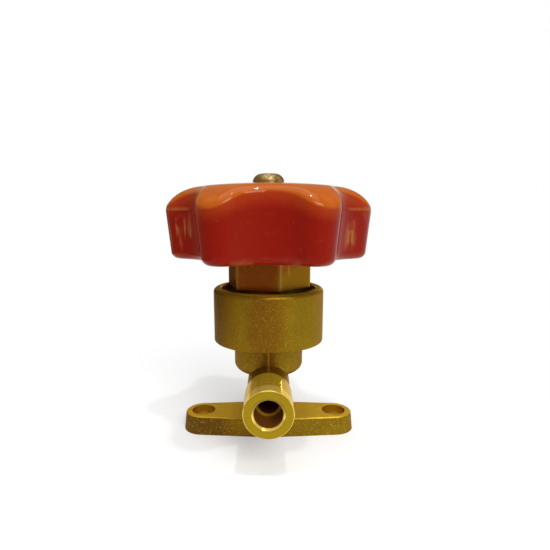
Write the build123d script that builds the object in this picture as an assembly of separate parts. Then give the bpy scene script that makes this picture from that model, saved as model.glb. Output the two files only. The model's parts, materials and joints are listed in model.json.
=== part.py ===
import os
from math import cos, radians, sin

from build123d import *

# Packless hand valve, millimetres. The origin is the centre of the foot's underside, +Z is up,
# and the two solder ends point along -Y and +Y. The valve is drawn closed.

# Foot with two screw holes
foot_thickness = 4.8
foot_hole_spacing = 35.5
foot_hole_d = 6.2
foot_end_r = 5.2
foot_centre_r = 6.6
foot_draft = 6.0
foot_top_round = 0.5

# Web between foot and tube
web_width = 10.6
web_length = 9.6
web_flare_r = 2.2

# Tube with solder ends
tube_axis_z = 15.05
root_r = 5.3
end_r = 5.62
end_start_y = 14.6
end_y = 25.7
end_step = 0.35
rim_bevel = 0.25
cup_d = 6.4
cup_depth = 6.5
cup_bevel = 0.6
port_d = 5.0

# Neck and collar
neck_d = 18.0
neck_base_z = 16.9
neck_base_round = 2.2
collar_d = 28.5
collar_base_z = 25.2
collar_top_z = 39.1
collar_top_round = 1.2
collar_base_round = 0.25
neck_root_round = 0.5
mouth_d = 24.4
mouth_floor_z = 37.3
mouth_bevel = 0.3
ridge_width = 0.5
ridge_height = 0.14
ridge_reach = 4 * end_y

# Chamber, seat and passages inside the body
chamber_d = 13.0
chamber_floor_z = 21.2
seat_z = 23.38
seat_lip_d = 5.8
seat_base_d = 7.2
seat_bore_d = 4.5
outlet_hole_d = 2.7
outlet_hole_y = -5.1
outlet_hole_top_z = chamber_floor_z + 1.0
outlet_port_end_y = -3.6
relief_d = 16.4
relief_floor_z = 29.6
ledge_z = 31.5
ledge_d = 22.6

# Diaphragm discs, pressed down by the pad
disc_count = 4
disc_pitch = 0.15
disc_thickness = 0.13
disc_d = 22.4
dish_depth = 1.8
dish_flat_r = 4.5
dish_rim_r = 8.0

# Clamp ring and bonnet
stack_top_z = ledge_z + disc_count * disc_pitch
ring_thickness = 1.2
ring_d = 22.4
ring_hole_d = 16.5
plug_thread_d = 22.5
bonnet_base_z = stack_top_z + ring_thickness
shoulder_z = 37.9
relief_neck_d = 18.2
hex_base_z = 39.3
hex_af = 19.0
hex_turn = -15.3
hex_top_z = 47.2
hex_bevel = 1.0
nose_d = 14.0
nose_top_z = 51.5
nose_round = 0.6
pad_room_d = 13.4
pad_room_top_z = 36.5
thread_d = 10.0
thread_top_z = 47.6
shaft_hole_d = 8.1
groove_d = 11.2
groove_z = 49.7
groove_width = 2.0

# Stem, ball and thrust pad
stem_thread_d = 9.9
stem_base_z = 35.4
stem_thread_top_z = 45.2
shaft_d = 8.0
shaft_top_z = 54.6
square_af = 6.0
square_top_z = 61.9
square_round = 0.4
ball_r = 2.0
ball_z = 35.2
ball_seat_gap = 0.03
ball_socket_gap = 0.06
pad_face_r = 4.2
pad_r = 6.2
pad_cone_top_z = 32.6
pad_top_z = 34.2
pad_gap = 0.04
o_ring_mean_r = 4.82
o_ring_section_r = 0.72

# Valve plug, seat disc and spring
plug_flange_d = 12.84
plug_flange_z = 25.4
plug_flange_t = 2.0
plug_nose_d = 8.4
plug_top_z = 29.66
plug_cup_d = 8.6
plug_cup_z = 23.9
seat_disc_d = 6.5
seat_disc_z = 23.4
seat_disc_t = 1.6
seat_pocket_d = 6.6
vent_d = 1.5
vent_count = 4
vent_circle_r = 5.35
spring_mean_r = 5.4
spring_wire_d = 0.8
spring_turns = 2
spring_gap = 0.04

# Handwheel
lobe_count = 6
lobe_tip_r = 25.9
lobe_r = 5.6
flute_bottom_r = 20.0
part_z = 58.6
wheel_base_z = 46.5
skirt_draft = 5.5
crown_draft = 6.0
skirt_base_round = 1.6
rim_round = 1.0
crown_top_z = 65.1
crown_shoulder_r = 17.6
crown_drop = 1.05
shoulder_round_r = 12.2
shoulder_sweep = 70.0
crown_turn = 15.0
wheel_wall = 3.2
wheel_roof = 3.0
hub_d = 15.0
hub_base_z = 53.6
rib_width = 2.0
rib_base_z = 56.0
socket_clear = 0.06
socket_lead = 0.8

# Screw and washer on top of the wheel
washer_d = 9.0
washer_hole_d = 4.4
washer_t = 0.8
washer_pocket_d = 9.3
head_d = 7.9
head_flat_d = 4.7
head_h = 2.3
head_wall_h = 0.7
head_round_r = 2.4
screw_d = 4.0
screw_hole_d = 4.3
screw_length = 9.0
screw_clear = 0.02
slot_width = 1.0
slot_depth = 1.1


def rod(diameter, low, high):
    """A round bar on the valve's axis, from one height to another."""
    bar = Cylinder(diameter / 2, high - low, align=(Align.CENTER, Align.CENTER, Align.MIN))
    return Pos(0, 0, low) * bar


def drill(diameter, start_y, stop_y):
    """A round bar along the tube's axis."""
    bar = Cylinder(diameter / 2, abs(stop_y - start_y), align=(Align.CENTER, Align.CENTER, Align.MIN))
    low = min(start_y, stop_y)
    return Pos(0, low, tube_axis_z) * Rot(-90, 0, 0) * bar


def turned(lines):
    """A solid turned about the valve's axis from its half section, drawn as radius and height."""
    return revolve(Plane.XZ * make_face(Curve() + lines), Axis.Z)


def edges_near(shape, height, tolerance=0.05):
    """The edges that lie flat at one height."""
    level = shape.edges().filter_by(Plane.XY)
    return level.filter_by(lambda e: abs(e.center().Z - height) < tolerance)


def foot():
    reach = foot_hole_spacing / 2
    rounds = [Pos(x, 0) * Circle(foot_end_r) for x in (-reach, reach)]
    rounds.append(Circle(foot_centre_r))
    outline = make_hull([edge for disc in rounds for edge in disc.edges()])
    plate = extrude(outline, foot_thickness, taper=foot_draft)
    return fillet(edges_near(plate, foot_thickness), foot_top_round)


def tube_end(side):
    """One machined solder end, side -1 in front and +1 behind."""
    profile = Polyline(
        (0, end_start_y - end_step),
        (root_r, end_start_y - end_step),
        (end_r, end_start_y),
        (end_r, end_y - rim_bevel),
        (end_r - rim_bevel, end_y),
        (0, end_y),
        close=True,
    )
    end = Pos(0, 0, tube_axis_z) * revolve(make_face(profile), Axis.Y)
    return end if side > 0 else mirror(end, Plane.XZ)


def solder_cup(side):
    """The stepped bore of one solder end, with its bevelled mouth."""
    cup_end = end_y - cup_depth
    cup = drill(cup_d, side * end_y, side * cup_end)
    mouth = Cone(cup_d / 2, cup_d / 2 + cup_bevel, cup_bevel, align=(Align.CENTER, Align.CENTER, Align.MAX))
    mouth = Pos(0, side * end_y, tube_axis_z) * Rot(-90 * side, 0, 0) * mouth
    inner_end = outlet_port_end_y if side < 0 else 0
    port = drill(port_d, side * cup_end, inner_end)
    return cup + mouth + port


def chamber():
    """Everything that is bored from above: chamber, diaphragm ledge, thread and their passages."""
    space = rod(chamber_d, chamber_floor_z, relief_floor_z)
    nozzle = Pos(0, 0, chamber_floor_z) * Cone(
        seat_base_d / 2,
        seat_lip_d / 2,
        seat_z - chamber_floor_z,
        align=(Align.CENTER, Align.CENTER, Align.MIN),
    )
    space = space - nozzle
    space = space + rod(seat_bore_d, tube_axis_z, seat_z)
    space = space + Pos(0, outlet_hole_y) * rod(outlet_hole_d, tube_axis_z, outlet_hole_top_z)
    space = space + rod(relief_d, relief_floor_z, ledge_z)
    space = space + rod(ledge_d, ledge_z, mouth_floor_z)
    mouth = rod(mouth_d, mouth_floor_z, collar_top_z)
    flare = Cone(
        mouth_d / 2,
        mouth_d / 2 + mouth_bevel,
        mouth_bevel,
        align=(Align.CENTER, Align.CENTER, Align.MAX),
    )
    return space + mouth + Pos(0, 0, collar_top_z) * flare


def neck(grow):
    """The round neck under the collar with its rounded lower end, grown a little for the ridge."""
    bar = rod(neck_d + 2 * grow, neck_base_z - grow, collar_base_z)
    return fillet(edges_near(bar, neck_base_z - grow), neck_base_round)


def parting_ridge():
    """The low ridge that the two forging dies leave along the middle of neck and tube root."""
    root = drill(2 * (root_r + ridge_height), end_step - end_start_y, end_start_y - end_step)
    grown = neck(ridge_height) + root
    return grown & Box(ridge_width, ridge_reach, ridge_reach)


def valve_body():
    plate = foot()
    web = Pos(0, 0, foot_thickness) * Box(
        web_width,
        web_length,
        tube_axis_z - foot_thickness,
        align=(Align.CENTER, Align.CENTER, Align.MIN),
    )
    base = plate + web
    flanks = edges_near(base, foot_thickness).filter_by(Axis.Y)
    base = fillet(flanks, web_flare_r)
    collar = rod(collar_d, collar_base_z, collar_top_z)
    collar = fillet(edges_near(collar, collar_top_z), collar_top_round)
    collar = fillet(edges_near(collar, collar_base_z), collar_base_round)
    upper = collar + neck(0)
    inner = edges_near(upper, collar_base_z).sort_by(SortBy.LENGTH)[0]
    upper = fillet(inner, neck_root_round)
    root = drill(2 * root_r, -end_start_y, end_start_y)
    body = base + root + upper + parting_ridge() + tube_end(-1) + tube_end(1)
    reach = foot_hole_spacing / 2
    for x in (-reach, reach):
        body = body - Pos(x, 0) * rod(foot_hole_d, 0, foot_thickness)
    return body - solder_cup(-1) - solder_cup(1) - chamber()


def diaphragm(index):
    """One dished disc of the stack, counted from below."""
    rim_z = ledge_z + index * disc_pitch
    low = rim_z - dish_depth
    under = [(0, low), (dish_flat_r, low), (dish_rim_r, rim_z), (disc_d / 2, rim_z)]
    over = [(r, z + disc_thickness) for r, z in reversed(under)]
    return turned([Polyline(*under, *over, close=True)])


def clamp_ring():
    return rod(ring_d, stack_top_z, bonnet_base_z) - rod(ring_hole_d, stack_top_z, bonnet_base_z)


def bonnet():
    thread = rod(plug_thread_d, bonnet_base_z, shoulder_z) + rod(relief_neck_d, shoulder_z, hex_base_z)
    corner_r = hex_af / 2 / cos(radians(30))
    hexagon = extrude(RegularPolygon(corner_r, 6, rotation=hex_turn), hex_top_z - hex_base_z)
    hexagon = Pos(0, 0, hex_base_z) * hexagon
    # the corners are turned off at about thirty degrees
    bar = rod(2 * corner_r, hex_base_z, hex_top_z)
    bar = chamfer(edges_near(bar, hex_top_z), hex_bevel, 2 * hex_bevel)
    hexagon = hexagon & bar
    nose = rod(nose_d, hex_top_z, nose_top_z)
    nose = fillet(edges_near(nose, nose_top_z), nose_round)
    blank = thread + hexagon + nose
    blank = blank - rod(pad_room_d, bonnet_base_z, pad_room_top_z)
    blank = blank - rod(thread_d, pad_room_top_z, thread_top_z)
    blank = blank - rod(shaft_hole_d, thread_top_z, nose_top_z)
    half = groove_width / 2
    return blank - rod(groove_d, groove_z - half, groove_z + half)


def stem_o_ring():
    return Pos(0, 0, groove_z) * Torus(o_ring_mean_r, o_ring_section_r)


def stem():
    bar = rod(stem_thread_d, stem_base_z, stem_thread_top_z)
    bar = chamfer(edges_near(bar, stem_thread_top_z), (stem_thread_d - shaft_d) / 4)
    shaft = rod(shaft_d, stem_thread_top_z, shaft_top_z)
    square = extrude(RectangleRounded(square_af, square_af, square_round), square_top_z - shaft_top_z)
    square = Pos(0, 0, shaft_top_z) * square
    tapped = rod(screw_d, crown_top_z - washer_t - screw_length, square_top_z)
    socket = Pos(0, 0, ball_z) * Sphere(ball_r + ball_socket_gap)
    return bar + shaft + square - tapped - socket


def thrust_ball():
    return Pos(0, 0, ball_z) * Sphere(ball_r)


def thrust_pad():
    face_z = ledge_z + (disc_count - 1) * disc_pitch + disc_thickness - dish_depth + pad_gap
    section = Polyline(
        (0, face_z),
        (pad_face_r, face_z),
        (pad_r, pad_cone_top_z),
        (pad_r, pad_top_z),
        (0, pad_top_z),
        close=True,
    )
    button = turned([section])
    return button - Pos(0, 0, ball_z) * Sphere(ball_r + ball_seat_gap)


def valve_plug():
    cup = rod(plug_cup_d, plug_cup_z, plug_flange_z)
    flange = rod(plug_flange_d, plug_flange_z, plug_flange_z + plug_flange_t)
    nose = rod(plug_nose_d, plug_flange_z + plug_flange_t, plug_top_z)
    plug = cup + flange + nose
    plug = plug - rod(seat_pocket_d, plug_cup_z, seat_disc_z + seat_disc_t)
    vent = rod(vent_d, plug_flange_z, plug_flange_z + plug_flange_t)
    for place in PolarLocations(vent_circle_r, vent_count):
        plug = plug - place * vent
    return plug


def seat_disc():
    return rod(seat_disc_d, seat_disc_z, seat_disc_z + seat_disc_t)


def return_spring():
    height = plug_flange_z - chamber_floor_z - spring_wire_d - 2 * spring_gap
    path = Helix(height / spring_turns, height, spring_mean_r)
    wire = Plane(path @ 0, z_dir=path % 0) * Circle(spring_wire_d / 2)
    coil = sweep(wire, path=path, is_frenet=True)
    return Pos(0, 0, chamber_floor_z + spring_wire_d / 2 + spring_gap) * coil


def polar(radius, degrees):
    return Vector(radius * cos(radians(degrees)), radius * sin(radians(degrees)))


def lobed_face(inset, height):
    """The wheel's outline at one height: round lobes and hollow flutes that run into each other."""
    pitch = 360 / lobe_count
    lobe_centre = lobe_tip_r - lobe_r
    along = lobe_centre * cos(radians(pitch / 2))
    flute_r = lobe_centre**2 + flute_bottom_r**2 - 2 * flute_bottom_r * along - lobe_r**2
    flute_r = flute_r / (2 * (lobe_r - flute_bottom_r + along))
    flute_centre = flute_bottom_r + flute_r
    reach = lobe_r - inset
    lines = []
    for index in range(lobe_count):
        angle = index * pitch
        lobe = polar(lobe_centre, angle)
        before = lobe + (polar(flute_centre, angle - pitch / 2) - lobe).normalized() * reach
        after = lobe + (polar(flute_centre, angle + pitch / 2) - lobe).normalized() * reach
        following = polar(lobe_centre, angle + pitch)
        to_next = (polar(flute_centre, angle + pitch / 2) - following).normalized() * reach
        lines.append(ThreePointArc(before, polar(lobe_tip_r - inset, angle), after))
        bottom = polar(flute_bottom_r - inset, angle + pitch / 2)
        lines.append(ThreePointArc(after, bottom, following + to_next))
    return Pos(0, 0, height) * make_face(Curve() + lines)


def crown(drop, low):
    """The wheel's domed top as a turned solid: a flat crown arc and a rounder shoulder.

    The turning starts between a lobe and a flute, so that no rim edge begins on a symmetry line.
    """
    top = (0, crown_top_z - drop)
    edge = (crown_shoulder_r, crown_top_z - crown_drop - drop)
    arc_r = (crown_shoulder_r**2 + crown_drop**2) / (2 * crown_drop)
    mid_r = crown_shoulder_r / 2
    sag = arc_r - (arc_r**2 - mid_r**2) ** 0.5
    flat = ThreePointArc(top, (mid_r, crown_top_z - sag - drop), edge)
    shoulder = JernArc(edge, flat % 1, shoulder_round_r, -shoulder_sweep)
    last = shoulder @ 1
    sides = Polyline(last, (last.X, low), (0, low), top)
    return Rot(0, 0, crown_turn) * turned([flat, shoulder, sides])


def wheel_room():
    """The hollow below the wheel's roof, before hub and ribs."""
    face = lobed_face(wheel_wall, wheel_base_z)
    prism = extrude(face, crown_top_z - wheel_base_z)
    return prism & crown(wheel_roof, wheel_base_z)


def handwheel():
    middle = lobed_face(0, part_z)
    skirt = extrude(middle, part_z - wheel_base_z, dir=(0, 0, -1), taper=skirt_draft)
    skirt = fillet(edges_near(skirt, wheel_base_z), skirt_base_round)
    top = extrude(middle, crown_top_z - part_z, taper=crown_draft)
    top = top & crown(0, wheel_base_z)
    top = fillet(top.edges().filter_by(GeomType.BSPLINE), rim_round)
    wheel = skirt + top
    room = wheel_room()
    hub = rod(hub_d, hub_base_z, crown_top_z)
    ribs = []
    for index in range(lobe_count):
        rib = Box(lobe_tip_r, rib_width, crown_top_z - rib_base_z, align=(Align.MIN, Align.CENTER, Align.MIN))
        ribs.append(Rot(0, 0, index * 360 / lobe_count) * Pos(0, 0, rib_base_z) * rib)
    room = room - hub - ribs
    wheel = wheel - room
    across = square_af + 2 * socket_clear
    socket = extrude(Rectangle(across, across), square_top_z + socket_clear - hub_base_z)
    wheel = wheel - Pos(0, 0, hub_base_z) * socket
    wheel = wheel - rod(shaft_d + 2 * socket_lead, hub_base_z, shaft_top_z + socket_clear)
    wheel = wheel - rod(screw_hole_d, square_top_z, crown_top_z)
    return wheel - rod(washer_pocket_d, crown_top_z - washer_t, crown_top_z)


def wheel_washer():
    low = crown_top_z - washer_t
    return rod(washer_d, low, crown_top_z) - rod(washer_hole_d, low, crown_top_z)


def wheel_screw():
    wall_top = (head_d / 2, crown_top_z + head_wall_h)
    flat_edge = (head_flat_d / 2, crown_top_z + head_h)
    wall = Polyline((0, crown_top_z), (head_d / 2, crown_top_z), wall_top)
    bulge = RadiusArc(wall_top, flat_edge, -head_round_r)
    lid = Polyline(flat_edge, (0, crown_top_z + head_h), (0, crown_top_z))
    head = turned([wall, bulge, lid])
    slot = Box(head_d, slot_width, slot_depth, align=(Align.CENTER, Align.CENTER, Align.MAX))
    head = head - Pos(0, 0, crown_top_z + head_h) * slot
    shank = rod(screw_d - 2 * screw_clear, crown_top_z - washer_t - screw_length, crown_top_z)
    return head + shank


def main():
    pieces = {
        "valve_body": valve_body(),
        "clamp_ring": clamp_ring(),
        "bonnet": bonnet(),
        "stem_o_ring": stem_o_ring(),
        "stem": stem(),
        "thrust_ball": thrust_ball(),
        "thrust_pad": thrust_pad(),
        "valve_plug": valve_plug(),
        "seat_disc": seat_disc(),
        "return_spring": return_spring(),
        "handwheel": handwheel(),
        "wheel_washer": wheel_washer(),
        "wheel_screw": wheel_screw(),
    }
    for index in range(disc_count):
        pieces[f"diaphragm_{index + 1}"] = diaphragm(index)
    os.makedirs("parts", exist_ok=True)
    for name, shape in pieces.items():
        export_step(shape, f"parts/{name}.step")
        print(name, round(shape.volume, 2))


main()
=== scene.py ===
import bpy
import json
import math
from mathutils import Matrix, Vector

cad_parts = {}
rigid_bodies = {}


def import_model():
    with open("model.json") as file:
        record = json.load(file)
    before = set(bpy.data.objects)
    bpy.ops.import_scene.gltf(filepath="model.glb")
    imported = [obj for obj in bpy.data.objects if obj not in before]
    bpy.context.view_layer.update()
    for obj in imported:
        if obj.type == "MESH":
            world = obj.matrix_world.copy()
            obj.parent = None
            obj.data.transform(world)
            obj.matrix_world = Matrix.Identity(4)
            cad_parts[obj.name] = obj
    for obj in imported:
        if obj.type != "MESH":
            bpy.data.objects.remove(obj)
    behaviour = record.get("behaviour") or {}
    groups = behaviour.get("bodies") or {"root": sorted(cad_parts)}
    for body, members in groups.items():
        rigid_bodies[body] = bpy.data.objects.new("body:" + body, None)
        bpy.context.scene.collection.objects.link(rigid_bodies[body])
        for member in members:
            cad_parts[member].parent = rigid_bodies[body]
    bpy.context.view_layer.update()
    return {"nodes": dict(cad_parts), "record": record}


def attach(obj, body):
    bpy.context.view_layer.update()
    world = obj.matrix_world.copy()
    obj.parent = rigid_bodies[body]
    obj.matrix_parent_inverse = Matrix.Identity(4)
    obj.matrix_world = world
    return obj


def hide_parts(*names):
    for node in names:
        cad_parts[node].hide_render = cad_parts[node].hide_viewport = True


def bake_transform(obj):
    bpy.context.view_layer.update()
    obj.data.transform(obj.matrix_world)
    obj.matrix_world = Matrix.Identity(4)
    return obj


for leftover in list(bpy.data.objects):
    bpy.data.objects.remove(leftover)

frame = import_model()
nodes = frame["nodes"]
mm = 0.001
print("frame loaded,", len(nodes), "nodes")


class Wire:
    # one socket of a node tree, so that node maths reads as an expression
    def __init__(self, tree, socket=None):
        self.tree = tree
        self.socket = socket

    def add(self, kind, settings=None, inputs=None, output=0):
        node = self.tree.nodes.new(kind)
        for name, value in (settings or {}).items():
            setattr(node, name, value)
        for key, value in (inputs or {}).items():
            if isinstance(value, Wire):
                self.tree.links.new(value.socket, node.inputs[key])
            else:
                node.inputs[key].default_value = value
        return Wire(self.tree, node.outputs[output])

    def maths(self, operation, *others):
        inputs = {0: self}
        for index, other in enumerate(others):
            inputs[index + 1] = other
        return self.add("ShaderNodeMath", {"operation": operation}, inputs)

    def __add__(self, other):
        return self.maths("ADD", other)

    __radd__ = __add__

    def __sub__(self, other):
        return self.maths("SUBTRACT", other)

    def __rsub__(self, other):
        return self.add("ShaderNodeMath", {"operation": "SUBTRACT"}, {0: other, 1: self})

    def __mul__(self, other):
        return self.maths("MULTIPLY", other)

    __rmul__ = __mul__

    def __truediv__(self, other):
        return self.maths("DIVIDE", other)

    def __rtruediv__(self, other):
        return self.add("ShaderNodeMath", {"operation": "DIVIDE"}, {0: other, 1: self})

    def root(self):
        return self.maths("SQRT")

    def step(self, low, high):
        # 0 below low, 1 above high, smooth between
        settings = {"interpolation_type": "SMOOTHSTEP"}
        return self.add("ShaderNodeMapRange", settings, {0: self, 1: low, 2: high})

    def between(self, start, full, fade, end):
        # 1 from full to fade, smooth to 0 at start and at end
        return self.step(start, full) * (1 - self.step(fade, end))

    def mix(self, first, second):
        # from the first colour to the second as this value goes from 0 to 1
        return self.add("ShaderNodeMix", {"data_type": "RGBA"}, {0: self, 6: first, 7: second}, 2)

    def split(self):
        # the three parts of a vector
        node = self.tree.nodes.new("ShaderNodeSeparateXYZ")
        self.tree.links.new(self.socket, node.inputs[0])
        return [Wire(self.tree, output) for output in node.outputs]


camera = {
    "place": (0.0, -116.0, 57.5),  # mm
    "pitchDown": 10.4,  # degrees
    "focalPixels": 450.0,
    "axisPixel": (268.5, 297.0),  # where the optical axis meets the picture
    "pictureSize": 550.0,
    "sensor": 36.0,
}


def addCamera(c):
    data = bpy.data.cameras.new("camera")
    data.sensor_width = c["sensor"]
    data.lens = c["focalPixels"] * c["sensor"] / c["pictureSize"]
    half = c["pictureSize"] / 2
    data.shift_x = (half - c["axisPixel"][0]) / c["pictureSize"]
    data.shift_y = (c["axisPixel"][1] - half) / c["pictureSize"]
    data.clip_start = 1 * mm
    data.clip_end = 100.0
    view = bpy.data.objects.new("camera", data)
    view.location = Vector(c["place"]) * mm
    view.rotation_euler = (math.radians(90 - c["pitchDown"]), 0, 0)
    bpy.context.scene.collection.objects.link(view)
    bpy.context.scene.camera = view


addCamera(camera)
print("camera placed")


def newMaterial(name, constants):
    # a material with its fixed values set, and a wire that knows where the surface is, in mm
    material = bpy.data.materials.new(name)
    material.use_nodes = True
    tree = material.node_tree
    shader = tree.nodes["Principled BSDF"]
    for key, value in constants.items():
        shader.inputs[key].default_value = value
    w = Wire(tree)
    place = w.add("ShaderNodeTexCoord", None, None, "Object")
    place = w.add("ShaderNodeVectorMath", {"operation": "SCALE"}, {0: place, "Scale": 1 / mm})
    return material, place, shader


def feed(shader, wires):
    for key, wire in wires.items():
        wire.tree.links.new(wire.socket, shader.inputs[key])


def noise(place, size, detail=2.0, roughness=0.5):
    inputs = {"Vector": place, "Scale": 1 / size, "Detail": detail, "Roughness": roughness}
    return place.add("ShaderNodeTexNoise", None, inputs)


def stretched(place, factors):
    # the same place with its axes scaled, so that a pattern runs along one of them
    return place.add("ShaderNodeVectorMath", {"operation": "MULTIPLY"}, {0: place, 1: factors})


def bump(height, distance, strength=1.0):
    inputs = {"Height": height, "Distance": distance * mm, "Strength": strength}
    return height.add("ShaderNodeBump", None, inputs)


brassEdge = (0.70, 0.50, 0.13, 1)  # what brass turns to at a glancing angle

forging = {
    "gold": (0.27, 0.160, 0.006, 1),
    "brown": (0.19, 0.075, 0.006, 1),
    "olive": (0.23, 0.140, 0.006, 1),
    "paintedLitTop": (0.80, 0.535, 0.035, 1),  # painted light on the top of the foot and on the rim's top face
    # flecks in the grain, also the painted highlight on the parting ridge
    "fleckAndHighlight": (0.50, 0.36, 0.070, 1),
    # dark of the pits in the grain, also the painted shade at the far left
    "pitAndShade": (0.09, 0.040, 0.006, 1),
    "machined": (0.70, 0.48, 0.030, 1),
    "toolMark": (0.46, 0.29, 0.020, 1),
    "lip": (0.88, 0.66, 0.15, 1),
    "endFace": (0.32, 0.205, 0.008, 1),
    "bore": (0.22, 0.07, 0.012, 1),
    "shoulder": (0.62, 0.42, 0.030, 1),
    "holeWall": (0.52, 0.27, 0.016, 1),
    "grain": 0.32,  # mm
    "grainDepth": 0.05,
    "roughness": 0.42,
    "machinedRoughness": 0.1,
    "lipStart": 22.4,
    "faceStart": 25.55,
    "collarHeight": 25.2,
    "rimHeight": 39.1,
    "brownBand": (-1.0, 2.0, 6.5),  # middle and reach of the browner band, along x
    "shadedLeftBrown": (2.0, 14.0),  # painted shade: the left side is browner too
    "darkSide": (-14.0, -9.0),  # painted shade: its far end is darkest
    "metallic": 0.75,  # the rest is dull oxide
    "tubeHeight": 15.05,
    "endStart": 14.3,
    "cupRadius": 3.2,
    "cupFloor": 19.2,
    "portRadius": 2.5,
    "holeReach": 17.75,
    "holeRadius": 3.1,
    "footTop": 4.8,
    "mouthRadius": 12.6,
    "mouthHeight": 37.0,
}


def forgedBrass(f):
    material, place, shader = newMaterial("forgedBrass", {"Specular Tint": brassEdge})
    x, y, z = place.split()
    away = y.maths("ABSOLUTE")
    rise = z - f["tubeHeight"]
    fromTube = (x * x + rise * rise).root()
    across = x.maths("ABSOLUTE")
    side = across - f["holeReach"]
    fromHole = (side * side + y * y).root()
    fromAxis = (x * x + y * y).root()
    tubeEnd = away.step(f["endStart"], f["endStart"] + 0.2)
    bore = 1 - fromTube.step(f["cupRadius"] + 0.02, f["cupRadius"] + 0.12)
    port = 1 - fromTube.step(f["portRadius"] + 0.02, f["portRadius"] + 0.1)
    ledge = bore * (1 - port) * (1 - (away - f["cupFloor"]).maths("ABSOLUTE").step(0.02, 0.08))
    hole = 1 - fromHole.step(f["holeRadius"] + 0.02, f["holeRadius"] + 0.1)
    inMouth = 1 - fromAxis.step(f["mouthRadius"] - 0.2, f["mouthRadius"])
    mouth = inMouth * z.step(f["mouthHeight"], f["mouthHeight"] + 0.5)
    machined = tubeEnd.maths("MAXIMUM", bore).maths("MAXIMUM", hole).maths("MAXIMUM", mouth)
    forged = 1 - machined
    patches = noise(place, 9.0, 3.0)
    stains = noise(place, 3.5, 4.0, 0.6)
    grain = noise(place, f["grain"], 2.0, 0.6)
    colour = patches.step(0.35, 0.65).mix(f["gold"], f["olive"])
    # a browner band along x, then painted shade: the left side browner and its far end darkest
    middle, near, far = f["brownBand"]
    brownBandAndShade = 1 - (x - middle + 5 * (stains - 0.5)).maths("ABSOLUTE").step(near, far)
    brownBandAndShade = brownBandAndShade.maths("MAXIMUM", (-5 * (stains - 0.5) - x).step(*f["shadedLeftBrown"]) * 0.9)
    colour = (brownBandAndShade * 0.7).mix(colour, f["brown"])
    colour = ((1 - x.step(*f["darkSide"])) * 0.7).mix(colour, f["pitAndShade"])
    top = f["footTop"]
    # painted light: the top of the foot is lighter
    paintedLitFootTop = z.between(top - 0.3, top - 0.05, top + 0.3, top + 1.5)
    colour = (paintedLitFootTop * (0.6 + 0.5 * stains)).mix(colour, f["paintedLitTop"])
    # painted highlight along the parting ridge, with painted shade on both sides of it
    paintedRidgeHighlight = 1 - across.step(0.12, 0.4)
    beside = across.between(0.2, 0.5, 0.6, 1.6)
    ridge = z.between(f["tubeHeight"], f["tubeHeight"] + 2, f["collarHeight"] - 1.5, f["collarHeight"])
    colour = (beside * ridge * 0.7).mix(colour, f["brown"])
    colour = (paintedRidgeHighlight * ridge * 0.6).mix(colour, f["fleckAndHighlight"])
    # painted light: the top face of the collar's rim is lighter
    paintedLitRimTop = z.step(f["rimHeight"] - 0.45, f["rimHeight"] - 0.1)
    colour = (paintedLitRimTop * 0.6).mix(colour, f["paintedLitTop"])
    coarse = 0.45 + 0.3 * (1 - z.step(f["collarHeight"] - 0.7, f["collarHeight"] + 0.3))
    colour = (grain.step(0.55, 0.72) * coarse).mix(colour, f["fleckAndHighlight"])
    pits = 1 - grain.step(0.28, 0.45)
    colour = (pits * coarse).mix(colour, f["pitAndShade"])
    toolLines = noise(stretched(place, (0.5, 14.0, 0.5)), 1.0, 2.0)
    smooth = (toolLines.step(0.3, 0.7) * 0.6).mix(f["machined"], f["toolMark"])
    smooth = away.step(f["lipStart"] - 0.5, f["lipStart"] + 0.3).mix(smooth, f["lip"])
    smooth = away.step(f["faceStart"], f["faceStart"] + 0.1).mix(smooth, f["endFace"])
    smooth = bore.mix(smooth, f["bore"])
    smooth = (hole * 0.8).mix(smooth, f["holeWall"])
    smooth = ledge.mix(smooth, f["shoulder"])
    colour = machined.mix(colour, smooth)
    rough = forged * (f["roughness"] + 0.2 * (grain - 0.5)) + bore * 0.3
    rough = rough + machined * (f["machinedRoughness"] + 0.1 * toolLines)
    height = forged * grain + machined * toolLines * 0.06
    metal = f["metallic"] - 0.1 * tubeEnd - 0.4 * bore * (1 - ledge) - 0.1 * paintedLitFootTop * forged
    relief = bump(height, f["grainDepth"])
    feed(shader, {"Base Color": colour, "Roughness": rough, "Metallic": metal, "Normal": relief})
    return material


turning = {
    "gold": (0.24, 0.118, 0.006, 1),
    "brown": (0.26, 0.066, 0.008, 1),
    "dark": (0.05, 0.020, 0.006, 1),
    # specks and drips, also the painted highlight on the hexagon's corners
    "fleckAndHighlight": (0.42, 0.26, 0.04, 1),
    "paintedLitSide": (1.0, 4.5),  # painted light: the faces go from brown to gold, along x
    "redTop": (42.5, 46.0),  # the top of the hexagon is redder
    # painted shade on the left faces of the hexagon
    "darkSide": (-8.5, -7.0),
    "gutter": (9.05, 39.35),  # radius and height of the shadowed step below the hexagon
    "cornerRadius": 10.9,  # painted highlight along the hexagon's corners
    "roughness": 0.33,
}


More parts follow.
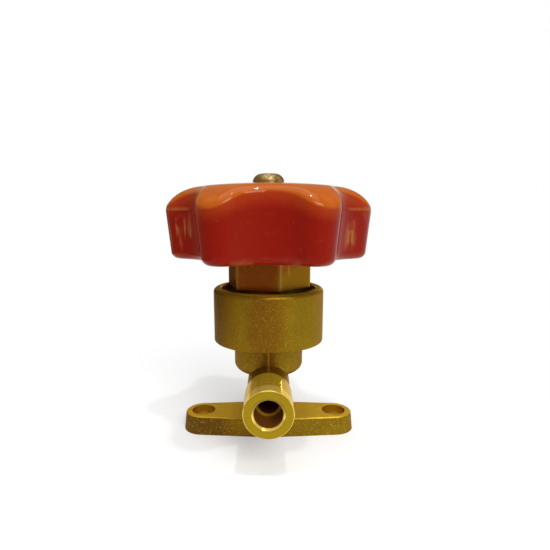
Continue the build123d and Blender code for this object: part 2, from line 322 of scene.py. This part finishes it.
def turnedBrass(t):
    material, place, shader = newMaterial("turnedBrass", {"Metallic": 0.8, "Specular Tint": brassEdge})
    patches = noise(place, 6.0, 3.0)
    lines = noise(stretched(place, (0.6, 0.6, 9.0)), 1.0, 3.0, 0.6)
    specks = noise(place, 0.5, 2.0)
    drips = noise(stretched(place, (1.0, 1.0, 0.15)), 1.2, 2.0)
    x, y, z = place.split()
    r = (x * x + y * y).root()
    # painted light and shade: gold on the right faces, brown in the middle, darker on the left
    paintedLitFaces = x + 4 * (patches - 0.5) - 5 * z.step(*t["redTop"])
    colour = paintedLitFaces.step(*t["paintedLitSide"]).mix(t["brown"], t["gold"])
    shaded = 1 - x.step(*t["darkSide"])
    colour = (shaded * 0.35).mix(colour, t["dark"])
    colour = (specks.step(0.60, 0.74) * 0.5).mix(colour, t["fleckAndHighlight"])
    colour = (drips.step(0.60, 0.72) * 0.5).mix(colour, t["fleckAndHighlight"])
    edge, height = t["gutter"]
    # painted highlight on the corners
    paintedCornerLight = r.step(t["cornerRadius"] - 0.35, t["cornerRadius"]) * z.step(height, height + 0.5)
    colour = (paintedCornerLight * 0.5).mix(colour, t["fleckAndHighlight"])
    gutter = r.step(edge, edge + 0.1) * z.between(height - 2, height - 1.9, height, height + 0.1)
    colour = gutter.mix(colour, t["dark"])
    rough = t["roughness"] + 0.2 * (lines - 0.5) + 0.35 * gutter.maths("MAXIMUM", shaded)
    feed(shader, {"Base Color": colour, "Roughness": rough, "Normal": bump(lines + specks * 0.5, 0.02)})
    return material


plastic = {
    # painted light: the orange top with pale sheen patches and the lit fringe under the rim lie over the
    # plastic's red
    "red": (0.225, 0.008, 0.0045, 1),
    "fringe": (0.30, 0.028, 0.005, 1),
    "orange": (0.385, 0.075, 0.006, 1),
    "pale": (0.44, 0.125, 0.020, 1),
    # tan of the scratches, also of the painted reflections and light on the flanks
    "scuffAndReflection": (0.40, 0.17, 0.05, 1),
    "rim": (0.25, 0.95),  # mm below the dome where the painted light of the orange top ends
    "paintedLightFringe": (0.6, 4.5),  # mm below the dome where the painted light of the fringe ends
    "sheen": (1.0, 0.70, 0.38, 1),
    "coat": (0.8, 3.0),  # mm below the dome where the extra gloss ends
    "coatRoughness": 0.05,
    "specular": 0.11,
    "roughness": 0.08,
    "reflectionAcross": (13.0, 18.0),  # painted reflections on the side lobes' flanks: along y, in height and by fold
    "reflectionHeights": (48.0, 51.0, 56.5, 58.5),
    "reflectionFolds": (0.06, 0.14, 0.34, 0.44),
    "cornerAcross": (13.5, 14.2, 17.0, 18.0),  # painted reflection along the outer edges of the front and back lobes
    "cornerFolds": (0.13, 0.17, 0.17, 0.21),
    "hem": (46.8, 48.6),  # tan marks along the lower edge
    "ledgeFrom": (18.0, 20.0),  # painted light on the side lobes just above the parting line
}


def crownOf(size):
    # the domed top's height at a radius: a wide arc, then a rounder shoulder
    top, drop = size["Crown Top"], size["Crown Drop"]
    edge, arc = size["Crown Edge"], size["Shoulder Arc"]
    wide = (edge * edge + drop * drop) / (2 * drop)
    shoulderR = edge - arc * edge / wide
    shoulderZ = top - drop - arc * (wide - drop) / wide

    def crownHeight(r):
        dome = top - wide + (wide * wide - r * r).root()
        reach = r - shoulderR
        shoulder = shoulderZ + (arc * arc - reach * reach).root()
        return dome + r.maths("GREATER_THAN", edge) * (shoulder - dome)

    return crownHeight


def foldOf(angle, lobes):
    # the angle to the nearest lobe's middle: 0 on a lobe, half a pitch in a flute
    pitch = 2 * math.pi / lobes
    turns = angle / pitch
    return (turns - turns.maths("ROUND")).maths("ABSOLUTE") * pitch


wheel = {
    "Lobes": 6.0,
    "Tip Radius": 25.89,
    "Lobe Radius": 5.6,
    "Flute Radius": 20.0,  # bottom of a flute
    "Part Height": 58.6,
    "Base Height": 46.5,
    "Skirt Draft": 5.5,  # degrees
    "Crown Draft": 6.0,
    "Base Round": 1.6,
    "Crown Top": 65.1,
    "Crown Edge": 17.6,  # radius where the shoulder starts
    "Crown Drop": 1.05,
    "Shoulder Arc": 12.2,
    "Mould Step": 0.06,  # the upper half is this much smaller
    "Rim In": 0.5,  # how far the rounding of the rim reaches
    "Rim Down": 0.45,
    "Flute Rim In": 1.9,  # and how much farther over a flute
    "Flute Rim Down": 1.05,
    "Wall": 3.2,
    "Roof": 3.0,
    "Hub Radius": 7.5,
    "Hub Base": 53.6,
    "Lead Radius": 4.8,
    "Lead Top": 54.66,
    "Square": 6.12,
    "Square Top": 61.96,
    "Screw Hole": 2.15,
    "Pocket Radius": 4.65,
    "Pocket Floor": 64.3,
    "Rib Width": 2.0,
    "Rib Base": 56.0,
}

rimSpread = (0.0, 0.26)  # fold over which the rim gets rounder
rimGuess = 2.0  # mm below the crown's top, where the search for the rim starts
rimTries = 3
# mm that a rib goes into hub, wall and roof, and how far its top falls towards the lobe
ribEnds = {"inHub": 0.5, "inWall": 0.3, "inRoof": 0.4, "fall": 1.9}
mouldSide = (0.75, 0.92)  # cosine from the x axis, over which the step of the mould shows
wheelColumns = 360
wheelRows = {
    "crown": 26, "rim": 8, "flank": 4, "step": 1, "skirt": 12, "baseRound": 8, "land": 1,
    "wall": 6, "roof": 10, "hub": 4, "hubBase": 2, "lead": 1, "leadRoof": 1, "socket": 3,
    "socketRoof": 1, "screwHole": 1, "pocketFloor": 1, "pocketWall": 1,
}


class Section:
    # a closed section walked in named stretches: a radius and a height for every row of the grid
    def __init__(self, row, counts, r, z):
        self.row = row
        self.counts = counts
        self.passed = 0
        self.radius = self.r = r
        self.height = self.z = z

    def progress(self, stretch):
        start = self.passed
        self.passed += self.counts[stretch]
        return self.row.add("ShaderNodeMapRange", None, {0: self.row, 1: start, 2: self.passed})

    def line(self, stretch, r, z):
        t = self.progress(stretch)
        self.radius = self.radius + t * (r - self.r)
        self.height = self.height + t * (z - self.z)
        self.r, self.z = r, z

    def rounded(self, stretch, cornerR, cornerZ, r, z):
        angle = self.progress(stretch) * (math.pi / 2)
        leave = angle.maths("SINE")
        arrive = 1 - angle.maths("COSINE")
        self.radius = self.radius + leave * (cornerR - self.r) + arrive * (r - cornerR)
        self.height = self.height + leave * (cornerZ - self.z) + arrive * (z - cornerZ)
        self.r, self.z = r, z

    def follow(self, stretch, r, curve):
        now = self.r + self.progress(stretch) * (r - self.r)
        self.radius = self.radius + (now - self.r)
        self.height = self.height + (curve(now) - self.z)
        self.r, self.z = r, curve(r)


seamReach = 0.002  # mm within which the seams of a grid are closed
creaseAngle = 30  # degrees above which an edge stays sharp


def newTree(name, sizes):
    tree = bpy.data.node_groups.new(name, "GeometryNodeTree")
    tree.interface.new_socket("Geometry", in_out="OUTPUT", socket_type="NodeSocketGeometry")
    for label, value in sizes.items():
        socket = tree.interface.new_socket(label, in_out="INPUT", socket_type="NodeSocketFloat")
        socket.default_value = value
    given = tree.nodes.new("NodeGroupInput")
    return tree, {output.name: Wire(tree, output) for output in given.outputs if output.name}


def roundGrid(w, columns, counts):
    # a grid for a turned shape: columns go round the axis, rows go once round the section
    rows = sum(counts.values())
    sheet = w.add("GeometryNodeMeshGrid", None, {
        "Size X": columns, "Size Y": rows, "Vertices X": columns + 1, "Vertices Y": rows + 1})
    column, row = w.add("GeometryNodeInputPosition").split()[:2]
    return sheet, column * (2 * math.pi / columns), row + rows / 2


def wrapped(w, sheet, angle, section):
    # the grid set round the axis along its section, with its seams closed
    radius, height = section.radius * mm, section.height * mm
    spot = w.add("ShaderNodeCombineXYZ", None, {
        0: radius * angle.maths("COSINE"), 1: radius * angle.maths("SINE"), 2: height})
    skin = w.add("GeometryNodeSetPosition", None, {"Geometry": sheet, "Position": spot})
    return w.add("GeometryNodeMergeByDistance", None, {"Geometry": skin, "Distance": seamReach * mm})


def closeTree(tree, parts, material):
    # the end of every tree: plain geometry, smooth but for its sharp edges, in its finish
    w = Wire(tree)
    whole = tree.nodes.new("GeometryNodeJoinGeometry")
    for part in parts:
        tree.links.new(part.socket, whole.inputs[0])
    solid = w.add("GeometryNodeRealizeInstances", None, {0: Wire(tree, whole.outputs[0])})
    solid = w.add("GeometryNodeSetShadeSmooth", None, {"Geometry": solid, "Shade Smooth": True})
    crease = w.add("GeometryNodeInputMeshEdgeAngle").maths("GREATER_THAN", math.radians(creaseAngle))
    sharp = {"Geometry": solid, "Selection": crease, "Shade Smooth": False}
    solid = w.add("GeometryNodeSetShadeSmooth", {"domain": "EDGE"}, sharp)
    solid = w.add("GeometryNodeSetMaterial", None, {"Geometry": solid, "Material": material})
    result = tree.nodes.new("NodeGroupOutput")
    tree.links.new(solid.socket, result.inputs[0])
    return tree


def wheelSkin(size, tree):
    # the whole moulding as one grid, from the pocket over the crown and back through the hollow
    w = Wire(tree)
    sheet, angle, row = roundGrid(w, wheelColumns, wheelRows)

    fold = foldOf(angle, size["Lobes"])
    lobeAt = size["Tip Radius"] - size["Lobe Radius"]
    half = math.pi / size["Lobes"]
    along = lobeAt * half.maths("COSINE")
    hollow = lobeAt * lobeAt + size["Flute Radius"] * size["Flute Radius"]
    hollow = hollow - 2 * size["Flute Radius"] * along - size["Lobe Radius"] * size["Lobe Radius"]
    hollow = hollow / (2 * (size["Lobe Radius"] - size["Flute Radius"] + along))  # the flute's own radius
    fluteAt = size["Flute Radius"] + hollow
    apart = size["Lobe Radius"] + hollow
    leanX = (fluteAt * half.maths("COSINE") - lobeAt) / apart
    leanY = fluteAt * half.maths("SINE") / apart

    def outline(inset):
        reach = size["Lobe Radius"] - inset
        aside = lobeAt * fold.maths("SINE")
        lobe = lobeAt * fold.maths("COSINE") + (reach * reach - aside * aside).root()
        rest = half - fold
        scoop = hollow + inset
        beside = fluteAt * rest.maths("SINE")
        flute = fluteAt * rest.maths("COSINE") - (scoop * scoop - beside * beside).root()
        meet = (reach * leanY).maths("ARCTAN2", lobeAt + reach * leanX)
        return lobe + fold.maths("GREATER_THAN", meet) * (flute - lobe)

    crown = crownOf(size)

    def ceiling(r):
        return crown(r) - size["Roof"]

    part, base = size["Part Height"], size["Base Height"]
    upper = (size["Crown Draft"] * (math.pi / 180)).maths("TANGENT")
    lower = (size["Skirt Draft"] * (math.pi / 180)).maths("TANGENT")

    cosine = angle.maths("COSINE").maths("ABSOLUTE")
    sine = angle.maths("SINE").maths("ABSOLUTE")
    mismatch = size["Mould Step"] * cosine.step(*mouldSide)  # the mould's halves are off along x alone

    def flank(z):
        return outline((z - part) * upper + mismatch)

    rimZ = size["Crown Top"] - rimGuess  # the rim is where crown and flank meet
    for attempt in range(rimTries):
        rimR = flank(rimZ)
        rimZ = crown(rimR)
    hollows = fold.step(*rimSpread)  # the rim is tight on a lobe's tip and rounder over a flute
    rimIn = size["Rim In"] + hollows * size["Flute Rim In"]
    rimDown = size["Rim Down"] + hollows * size["Flute Rim Down"]

    start = size["Pocket Radius"]
    section = Section(row, wheelRows, start, crown(start))
    section.follow("crown", rimR - rimIn, crown)
    section.rounded("rim", rimR, rimZ, flank(rimZ - rimDown), rimZ - rimDown)
    section.line("flank", outline(mismatch), part)
    section.line("step", outline(0.0), part - size["Mould Step"])
    footZ = base + size["Base Round"]
    section.line("skirt", outline((part - footZ) * lower), footZ)
    hem = (part - base) * lower
    section.rounded("baseRound", outline(hem), base, outline(hem + size["Base Round"]), base)
    inner = outline(size["Wall"])
    section.line("land", inner, base)
    section.line("wall", inner, ceiling(inner))
    section.follow("roof", size["Hub Radius"], ceiling)
    section.line("hub", size["Hub Radius"], size["Hub Base"])
    section.line("hubBase", size["Lead Radius"], size["Hub Base"])
    section.line("lead", size["Lead Radius"], size["Lead Top"])
    square = size["Square"] / 2 / cosine.maths("MAXIMUM", sine)
    section.line("leadRoof", square, size["Lead Top"])
    section.line("socket", square, size["Square Top"])
    section.line("socketRoof", size["Screw Hole"], size["Square Top"])
    section.line("screwHole", size["Screw Hole"], size["Pocket Floor"])
    section.line("pocketFloor", start, size["Pocket Floor"])
    section.line("pocketWall", start, crown(start))

    skin = wrapped(w, sheet, angle, section)
    return w.add("GeometryNodeFlipFaces", None, {"Mesh": skin})  # the section runs clockwise here


def wheelRibs(size, tree):
    # one rib from hub to lobe, its top inside the roof, set round the axis once for each lobe
    w = Wire(tree)
    inner = size["Hub Radius"] - ribEnds["inHub"]
    outer = size["Tip Radius"] - size["Wall"] + ribEnds["inWall"]
    block = w.add("GeometryNodeMeshCube")
    x, y, z = w.add("GeometryNodeInputPosition").split()
    far, high = x + 0.5, z + 0.5
    top = size["Crown Top"] - size["Roof"] + ribEnds["inRoof"] - ribEnds["fall"] * far
    spot = w.add("ShaderNodeCombineXYZ", None, {
        0: (inner + far * (outer - inner)) * mm,
        1: y * size["Rib Width"] * mm,
        2: (size["Rib Base"] + high * (top - size["Rib Base"])) * mm})
    rib = w.add("GeometryNodeSetPosition", None, {"Geometry": block, "Position": spot})
    spread = w.add("GeometryNodePoints", None, {"Count": size["Lobes"]})
    turn = w.add("GeometryNodeInputIndex") * (2 * math.pi / size["Lobes"])
    heading = w.add("ShaderNodeCombineXYZ", None, {2: turn})
    placed = {"Points": spread, "Instance": rib, "Rotation": heading}
    return w.add("GeometryNodeInstanceOnPoints", None, placed)


def wheelTree(sizes, material):
    tree, size = newTree("lobedWheel", sizes)
    return closeTree(tree, (wheelRibs(size, tree), wheelSkin(size, tree)), material)


def grown(name, tree, sizes):
    # runs the tree once and keeps its result as a plain mesh
    host = bpy.data.objects.new(name + "Host", bpy.data.meshes.new(name + "Host"))
    bpy.context.scene.collection.objects.link(host)
    modifier = host.modifiers.new("tree", "NODES")
    modifier.node_group = tree
    for item in tree.interface.items_tree:
        if item.in_out == "INPUT":
            modifier[item.identifier] = sizes[item.name]
    evaluated = host.evaluated_get(bpy.context.evaluated_depsgraph_get())
    mesh = bpy.data.meshes.new_from_object(evaluated)
    host.modifiers.remove(modifier)
    bpy.data.objects.remove(host)
    piece = bpy.data.objects.new(name, mesh)
    bpy.context.scene.collection.objects.link(piece)
    return piece


def wheelPlastic(p, sizes):
    material, place, shader = newMaterial("wheelPlastic", {
        "Specular IOR Level": p["specular"], "Specular Tint": p["sheen"],
        "Coat Roughness": p["coatRoughness"]})
    x, y, z = place.split()
    r = (x * x + y * y).root()
    fold = foldOf(y.maths("ARCTAN2", x), sizes["Lobes"])
    below = crownOf(sizes)(r) - z  # mm below the dome
    below = below - 0.6 * sizes["Flute Rim Down"] * fold.step(*rimSpread)  # a flute's rim is lower
    # painted light: orange with pale sheen on the top, fading through the fringe to red below the rim
    clouds = noise(place, 7.0, 3.0)
    fade = (below + 1.5 * (clouds - 0.5)).step(*p["paintedLightFringe"])
    colour = fade.mix(p["fringe"], p["red"])
    paintedSheenPatches = noise(place, 4.0, 5.0, 0.65)
    top = (paintedSheenPatches.step(0.45, 0.75) * 0.6).mix(p["orange"], p["pale"])
    colour = below.step(*p["rim"]).mix(top, colour)
    scratches = noise(stretched(place, (0.3, 4.0, 1.0)), 1.2, 4.0, 0.7).step(0.60, 0.72)
    colour = (scratches * 0.12).mix(colour, p["scuffAndReflection"])
    # painted reflection: tan streaks on the side lobes' flanks
    side = (1 - y.maths("ABSOLUTE").step(*p["reflectionAcross"])) * z.between(*p["reflectionHeights"])
    streaks = noise(stretched(place, (1.0, 1.0, 0.10)), 1.6, 2.0, 0.6)
    flanks = fold.between(*p["reflectionFolds"])
    paintedReflectionStreaks = streaks.step(0.44, 0.70) * noise(place, 5.0).step(0.40, 0.6) * side * flanks
    # painted reflection: tan lines along the outer edges of the front and back lobes
    across = x.maths("ABSOLUTE")
    outer = across.between(*p["cornerAcross"])
    paintedCornerLight = fold.between(*p["cornerFolds"]) * outer * below.step(0.6, 1.5)
    paintedCornerLight = paintedCornerLight * streaks.step(0.35, 0.7) * clouds.step(0.35, 0.55)
    hem = (1 - z.step(*p["hem"])) * clouds.step(0.5, 0.7)
    # painted light on the side lobes' flank just above the parting line
    fromPart = z - sizes["Part Height"]
    ledge = fromPart.between(-0.25, -0.05, 0.1, 0.3 + 1.2 * clouds) * across.step(*p["ledgeFrom"])
    # painted reflections and light, with the tan marks along the lower edge
    paintedLightAndHemMarks = paintedReflectionStreaks.maths("MAXIMUM", paintedCornerLight).maths("MAXIMUM", hem * 0.6).maths("MAXIMUM", ledge * streaks)
    colour = (paintedLightAndHemMarks * 0.6).mix(colour, p["scuffAndReflection"])
    gloss = 0.2 * (1 - below.step(*p["coat"]))
    rough = p["roughness"] + 0.08 * noise(place, 2.5, 3.0) + 0.2 * paintedLightAndHemMarks + 0.12 * scratches
    waves = noise(place, 4.0, 1.0)
    relief = bump(waves, 0.05, 0.6)
    feed(shader, {"Base Color": colour, "Roughness": rough, "Coat Weight": gloss, "Normal": relief})
    return material


finishes = {"wheel_plastic": wheelPlastic(plastic, wheel)}
moulding = grown("handwheelMoulding", wheelTree(wheel, finishes["wheel_plastic"]), wheel)
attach(moulding, "wheel")
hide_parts("handwheel")
print("handwheel grown,", len(moulding.data.polygons), "faces")


zinc = {
    "pale": (0.40, 0.295, 0.13, 1),
    "dull": (0.19, 0.115, 0.04, 1),
    "speck": (0.80, 0.70, 0.46, 1),
    "roughness": 0.48,
}


def platedSteel(p):
    material, place, shader = newMaterial("platedSteel", {"Metallic": 1.0})
    blotches = noise(place, 1.1, 3.0)
    specks = noise(place, 0.55, 2.0)
    colour = blotches.step(0.35, 0.65).mix(p["pale"], p["dull"])
    colour = (specks.step(0.55, 0.7) * 0.6).mix(colour, p["speck"])
    rough = p["roughness"] + 0.25 * (blotches - 0.5)
    feed(shader, {"Base Color": colour, "Roughness": rough, "Normal": bump(specks, 0.09)})
    return material


innerFinishes = {  # what no side shows, each from one noise between two colours
    "spring_steel": {
        "name": "springSteel", "metallic": 1.0, "grain": 0.6, "roughness": (0.22, 0.15),
        "first": (0.42, 0.42, 0.43, 1), "second": (0.62, 0.61, 0.59, 1)},
    "seal_rubber": {
        "name": "sealRubber", "metallic": 0.0, "grain": 0.5, "roughness": (0.5, 0.2),
        "first": (0.012, 0.012, 0.013, 1), "second": (0.03, 0.03, 0.03, 1)},
    "seat_plastic": {
        "name": "seatPlastic", "metallic": 0.0, "grain": 1.5, "roughness": (0.4, 0.15),
        "first": (0.70, 0.68, 0.60, 1), "second": (0.80, 0.78, 0.70, 1)},
}


def innerFinish(f):
    material, place, shader = newMaterial(f["name"], {"Metallic": f["metallic"]})
    tone = noise(place, f["grain"], 3.0)
    least, more = f["roughness"]
    feed(shader, {
        "Base Color": tone.mix(f["first"], f["second"]),
        "Roughness": least + more * tone,
        "Normal": bump(tone, 0.01)})
    return material


finishes["forged_brass"] = forgedBrass(forging)
finishes["turned_brass"] = turnedBrass(turning)
finishes["plated_steel"] = platedSteel(zinc)
for slot, values in innerFinishes.items():
    finishes[slot] = innerFinish(values)

slotOf = {part["node"]: part["material_slot"] for part in frame["record"]["subparts"]}
for name, node in nodes.items():
    node.data.materials.clear()
    node.data.materials.append(finishes[slotOf[name]])
print("finishes set")


disc = {
    "Rim Radius": 11.2,
    "Slope Radius": 8.0,
    "Flat Radius": 4.5,
    "Thickness": 0.13,
    "Depth": 1.8,
    "Rim Height": 31.5,  # of the lowest disc
    "Spacing": 0.15,
    "Place": 0.0,  # in the stack, counted from below
}
discCount = 4
discColumns = 96
discRows = {"under": 1, "slope": 1, "land": 1, "edge": 1, "landTop": 1, "slopeTop": 1, "top": 1}


def discTree(sizes, material):
    # a thin dished disc: its rim is clamped and its flat middle goes up with the pad
    tree, size = newTree("dishedDisc", sizes)
    w = Wire(tree)
    sheet, angle, row = roundGrid(w, discColumns, discRows)
    rim = size["Rim Height"] + size["Place"] * size["Spacing"]
    low, over = rim - size["Depth"], size["Thickness"]
    section = Section(row, discRows, row * 0, low)
    section.line("under", size["Flat Radius"], low)
    section.line("slope", size["Slope Radius"], rim)
    section.line("land", size["Rim Radius"], rim)
    section.line("edge", size["Rim Radius"], rim + over)
    section.line("landTop", size["Slope Radius"], rim + over)
    section.line("slopeTop", size["Flat Radius"], low + over)
    section.line("top", 0.0, low + over)
    return closeTree(tree, [wrapped(w, sheet, angle, section)], material)


springDiscs = discTree(disc, finishes[slotOf["diaphragm_1"]])
for place in range(discCount):
    node = f"diaphragm_{place + 1}"
    piece = grown(f"dishedDisc{place + 1}", springDiscs, {**disc, "Place": float(place)})
    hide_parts(node)
    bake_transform(piece)
print("discs dished,", discCount)


coil = {
    "Mean Radius": 5.4,
    "Wire": 0.8,
    "Turns": 2.0,
    "Low": 21.64,  # middle of the wire at its lower end
    "Rise": 3.32,
}
coilSteps = {"turn": 64, "wire": 20}  # points in one turn and round the wire


def coilTree(sizes, material):
    tree, size = newTree("coiledSpring", sizes)
    w = Wire(tree)
    path = w.add("GeometryNodeCurveSpiral", None, {
        "Resolution": coilSteps["turn"], "Rotations": size["Turns"], "Height": size["Rise"] * mm,
        "Start Radius": size["Mean Radius"] * mm, "End Radius": size["Mean Radius"] * mm})
    thick = size["Wire"] / 2 * mm
    circle = {"Resolution": coilSteps["wire"], "Radius": thick}
    ring = w.add("GeometryNodeCurvePrimitiveCircle", None, circle)
    drawn = {"Curve": path, "Profile Curve": ring, "Fill Caps": True}
    wire = w.add("GeometryNodeCurveToMesh", None, drawn)
    lift = w.add("ShaderNodeCombineXYZ", None, {2: size["Low"] * mm})
    wire = w.add("GeometryNodeSetPosition", None, {"Geometry": wire, "Offset": lift})
    return closeTree(tree, [wire], material)


spring = grown("coiledSpring", coilTree(coil, finishes[slotOf["return_spring"]]), coil)
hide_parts("return_spring")
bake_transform(spring)
print("spring coiled,", len(spring.data.polygons), "faces")


studio = {
    "floorLow": (-0.12, -0.15),  # corners of the paper, m
    "floorHigh": (0.60, 1.50),
    "floorColour": (0.93, 0.93, 0.93, 1),
    "fadeFrom": 0.03,  # m from the object, where the floor starts to turn white
    "fadeTo": 0.11,
    "fadeLeast": 0.3,
    "worldLevel": 0.5,
    "roomColour": (0.30, 0.22, 0.13, 1),  # what lies beside and behind the camera
    "windowColour": (0.85, 0.70, 0.42, 1),  # warm light on the right
    "backdropColour": (0.85, 0.84, 0.82, 1),
    "ceilingColour": (0.40, 0.31, 0.18, 1),
    "ceilingFrom": (0.17, 0.25),  # sine of the height at which it begins
    "backdropFrom": (0.78, 0.96),  # how far backwards a direction points where it begins
    "backdropTurn": 0.5,  # how much of it lies to the right
    "windowFrom": (-0.2, 0.8),  # from left to right
}


def seenRays(w):
    node = w.add("ShaderNodeLightPath").socket.node
    rays = {output.name: Wire(w.tree, output) for output in node.outputs}
    mirrored = rays["Is Glossy Ray"].maths("MAXIMUM", rays["Is Transmission Ray"])
    return rays["Is Camera Ray"], mirrored


def addFloor(s):
    (left, front), (right, back) = s["floorLow"], s["floorHigh"]
    mesh = bpy.data.meshes.new("floor")
    corners = [(left, front, 0), (right, front, 0), (right, back, 0), (left, back, 0)]
    mesh.from_pydata(corners, [], [(0, 1, 2, 3)])
    floor = bpy.data.objects.new("floor", mesh)
    bpy.context.scene.collection.objects.link(floor)
    material, place, shader = newMaterial("floorPaper", {"Base Color": s["floorColour"], "Roughness": 0.9})
    x, y, z = place.split()
    away = (x * x + y * y).root() * mm
    direct, mirrored = seenRays(place)
    white = place.add("ShaderNodeEmission", None, {"Color": (1, 1, 1, 1), "Strength": 1.0})
    whiteness = s["fadeLeast"] + (1 - s["fadeLeast"]) * away.step(s["fadeFrom"], s["fadeTo"])
    factor = whiteness * direct.maths("MAXIMUM", mirrored)
    paper = Wire(place.tree, shader.outputs[0])
    blend = place.add("ShaderNodeMixShader", None, {0: factor, 1: paper, 2: white})
    output = place.tree.nodes["Material Output"]
    place.tree.links.new(blend.socket, output.inputs["Surface"])
    mesh.materials.append(material)


def addWorld(s):
    world = bpy.data.worlds.new("studio")
    bpy.context.scene.world = world
    world.use_nodes = True
    tree = world.node_tree
    tree.nodes.clear()
    w = Wire(tree)
    direct, mirrored = seenRays(w)
    x, y, z = w.add("ShaderNodeTexCoord", None, None, "Generated").split()
    backdrop = (y + s["backdropTurn"] * x).step(*s["backdropFrom"])
    window = x.step(*s["windowFrom"])
    surroundings = window.mix(s["roomColour"], s["windowColour"])
    surroundings = backdrop.mix(surroundings, s["backdropColour"])
    surroundings = z.step(*s["ceilingFrom"]).mix(surroundings, s["ceilingColour"])
    grey = (s["worldLevel"], s["worldLevel"], s["worldLevel"], 1)
    colour = mirrored.mix(grey, surroundings)
    colour = direct.mix(colour, (1, 1, 1, 1))
    light = w.add("ShaderNodeBackground", None, {"Color": colour, "Strength": 1.0})
    out = tree.nodes.new("ShaderNodeOutputWorld")
    tree.links.new(light.socket, out.inputs["Surface"])


addFloor(studio)
addWorld(studio)

lampAim = Vector((0, 0, 0.03))  # m
lamps = [  # places in m, power in W
    {"name": "key", "place": (0.18, -0.45, 0.42), "size": 0.30, "power": 2.2},
    {"name": "top", "place": (0.0, -0.02, 0.60), "size": 0.48, "power": 1.28},
    {"name": "spark", "place": (0.06, -0.10, 0.50), "size": 0.02, "power": 0.45},
    {"name": "rear", "place": (0.22, 0.55, 0.14), "size": 0.03, "power": 0.065,
     "lights": "valve_body"},  # a line of light along the tube, kept off the wheel's outline
]
for lamp in lamps:
    data = bpy.data.lights.new(lamp["name"], "AREA")
    data.size = lamp["size"]
    data.energy = lamp["power"]
    light = bpy.data.objects.new(lamp["name"], data)
    light.location = lamp["place"]
    aim = lampAim - light.location
    light.rotation_euler = aim.to_track_quat("-Z", "Y").to_euler()
    bpy.context.scene.collection.objects.link(light)
    if "lights" in lamp:
        lit = bpy.data.collections.new(lamp["name"] + "Lights")
        lit.objects.link(nodes[lamp["lights"]])
        light.light_linking.receiver_collection = lit
print("studio lit")

bpy.context.scene.view_settings.view_transform = "Standard"
